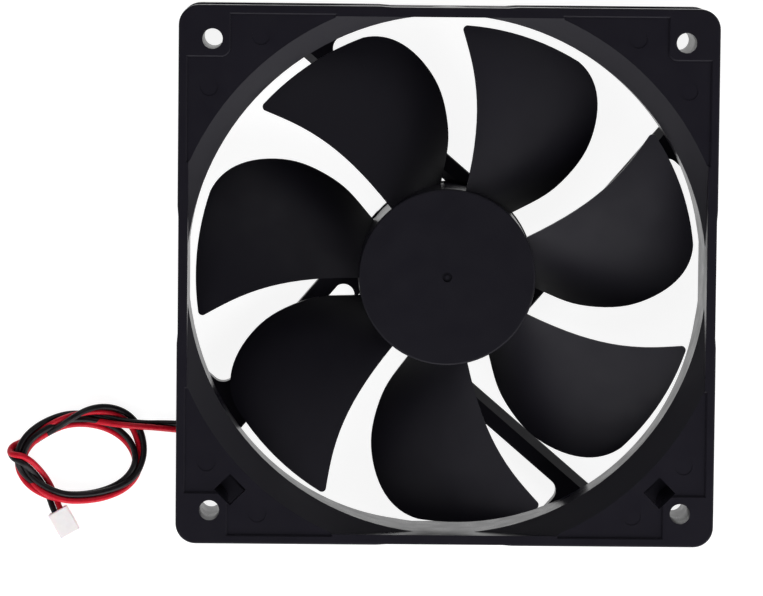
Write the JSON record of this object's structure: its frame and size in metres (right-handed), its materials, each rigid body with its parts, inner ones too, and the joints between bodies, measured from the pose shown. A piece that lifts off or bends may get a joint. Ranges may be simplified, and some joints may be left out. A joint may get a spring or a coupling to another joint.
{
  "type": "case fan",
  "caption": "Square axial cooling fan: a moulded frame with struts carries a hub motor and a bladed rotor, with corner holes and a two-core lead to a small plug.",
  "frame": {"origin": "middle of the outlet face, on the surface that the fan lies on", "axes": "+Z along the rotor's axis and out of the inlet side; the lead leaves the -X side near its -Y end"},
  "size_m": [0.1589, 0.1222, 0.025],
  "materials": {
    "frame_plastic": "satin moulded",
    "impeller_plastic": "satin moulded",
    "bronze": "sintered",
    "washer_film": "smooth",
    "thrust_plastic": "smooth",
    "label_paper": "matt printed",
    "core_steel": "laminated",
    "bobbin_plastic": "moulded",
    "enamelled_copper": "enamelled winding",
    "tinned_metal": "tinned",
    "board_laminate": "solder resist",
    "chip_epoxy": "matt",
    "capacitor_ceramic": "fired",
    "wire_red": "smooth insulation",
    "wire_black": "smooth insulation",
    "connector_nylon": "natural nylon",
    "yoke_steel": "plated",
    "magnet_ferrite": "bonded ferrite",
    "shaft_steel": "ground",
    "brass": "turned"
  },
  "bodies": {
    "stator": {"frame": "frame_plastic", "sleeve_bearing": "bronze", "oil_washer_upper": "washer_film", "oil_washer_lower": "washer_film", "thrust_pad": "thrust_plastic", "bearing_cap": "frame_plastic", "rear_label": "label_paper", "stator_core": "core_steel", "insulator_upper": "bobbin_plastic", "insulator_lower": "bobbin_plastic", "coil_1": "enamelled_copper", "coil_2": "enamelled_copper", "coil_3": "enamelled_copper", "coil_4": "enamelled_copper", "terminal_pins": "tinned_metal", "circuit_board": "board_laminate", "driver_ic": "chip_epoxy", "hall_sensor": "chip_epoxy", "capacitor_1": "capacitor_ceramic", "capacitor_2": "capacitor_ceramic", "diode": "chip_epoxy", "solder_joints": "tinned_metal", "lead_red_inner": "wire_red", "lead_black_inner": "wire_black", "lead_red_exit": "wire_red", "lead_black_exit": "wire_black", "lead_coil": "wire_red", "lead_red_tail": "wire_red", "lead_black_tail": "wire_black", "connector_housing": "connector_nylon", "crimp_terminal_red": "tinned_metal", "crimp_terminal_black": "tinned_metal"},
    "rotor": {"impeller": "impeller_plastic", "rotor_yoke": "yoke_steel", "ring_magnet": "magnet_ferrite", "shaft": "shaft_steel", "shaft_bushing": "brass", "retaining_ring": "yoke_steel"}
  },
  "joints": [
    {"name": "rotor_spin", "type": "hinge", "parent": "stator", "child": "rotor", "pos_m": [0, 0, 0.012], "axis": [0, 0, 1], "continuous": true}
  ]
}
